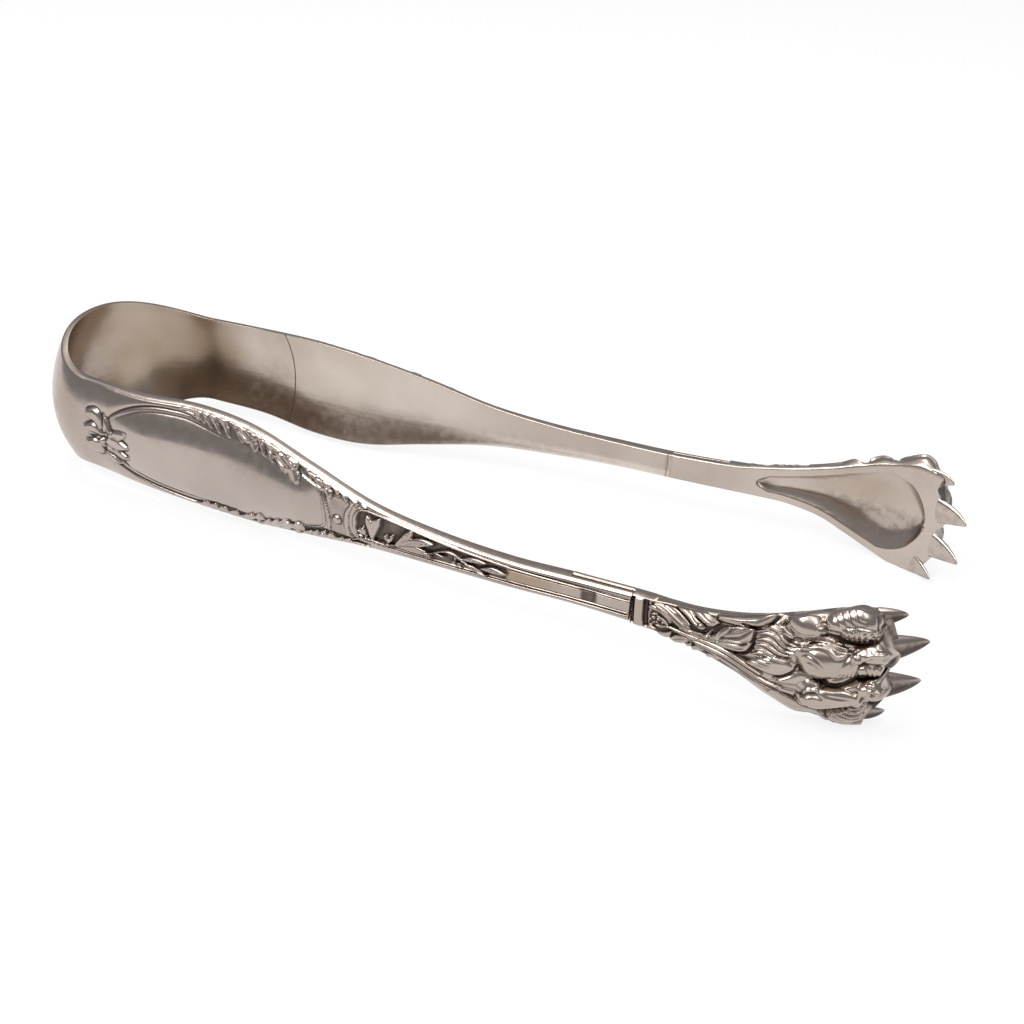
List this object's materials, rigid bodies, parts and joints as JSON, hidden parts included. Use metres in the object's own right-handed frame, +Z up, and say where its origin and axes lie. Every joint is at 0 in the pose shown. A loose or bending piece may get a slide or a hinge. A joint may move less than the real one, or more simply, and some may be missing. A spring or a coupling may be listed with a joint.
{
  "type": "kitchen tongs",
  "caption": "Silver sugar tongs: a domed spring bow, relief-struck arms with a blank cartouche, and cast lion-paw grips with hooked claws.",
  "frame": {"origin": "on the surface the tongs lie on, under the middle of their length and width", "axes": "+X from the bow's crown to the claws, +Y from the near arm to the far arm, +Z up, across the strip"},
  "size_m": [0.1541, 0.0532, 0.0244],
  "materials": {
    "bow_silver": "worn polished silver with a brown tarnish inside",
    "arm_silver": "struck silver, dark patina in the relief",
    "paw_silver": "cast silver, dark patina in the grooves"
  },
  "bodies": {
    "bow": {"bow_crown": "bow_silver"},
    "near_side": {"near_bow_flank": "bow_silver", "near_arm": "arm_silver", "near_paw": "paw_silver"},
    "far_side": {"far_bow_flank": "bow_silver", "far_arm": "arm_silver", "far_paw": "paw_silver"}
  },
  "joints": [
    {"name": "near_arm_flex", "type": "hinge", "parent": "bow", "child": "near_side", "pos_m": [-0.07037, -0.01193, 0.0119], "axis": [0.0326, 0, 0.9995], "range_deg": [0, 5.9], "stiffness_Nm_per_rad": 2},
    {"name": "far_arm_flex", "type": "hinge", "parent": "bow", "child": "far_side", "pos_m": [-0.07037, 0.01193, 0.0119], "axis": [-0.0326, 0, -0.9995], "range_deg": [0, 5.9], "stiffness_Nm_per_rad": 2}
  ],
  "couplings": [
    {"joint": "far_arm_flex", "follows": "near_arm_flex", "ratio": 1}
  ]
}
